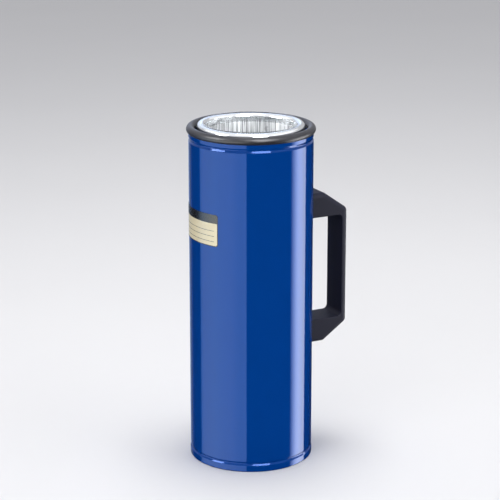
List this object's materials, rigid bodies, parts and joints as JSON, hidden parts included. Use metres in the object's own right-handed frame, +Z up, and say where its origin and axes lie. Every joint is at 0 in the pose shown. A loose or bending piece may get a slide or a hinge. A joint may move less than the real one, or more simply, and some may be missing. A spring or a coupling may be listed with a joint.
{
  "type": "dewar flask",
  "caption": "Cylindrical dewar flask: silvered double-walled glass vessel in a lacquered metal casing, with a rubber rim and a side grip.",
  "frame": {"origin": "on the flask's axis, in the plane its foot stands on", "axes": "+Z up along the flask's axis, +X towards the side grip, +Y to the left seen from the grip"},
  "size_m": [0.1872, 0.1438, 0.3875],
  "materials": {
    "blue_lacquer": "gloss lacquer",
    "black_rubber": "satin",
    "silvered_glass": "clear glass, silvered on the vacuum side",
    "black_plastic": "fine moulded grain",
    "bare_aluminium": "rolled sheet",
    "felt": "pressed felt",
    "brass": "turned",
    "zinc_steel": "zinc plated"
  },
  "bodies": {
    "root": {"outer_casing": "blue_lacquer", "rim_ring": "black_rubber", "glass_flask": "silvered_glass", "handle": "black_plastic", "base_plate": "bare_aluminium", "base_cushion": "felt", "neck_packing": "felt", "handle_inserts": "brass", "handle_screws": "zinc_steel", "handle_backing_plates": "zinc_steel"}
  },
  "joints": []
}
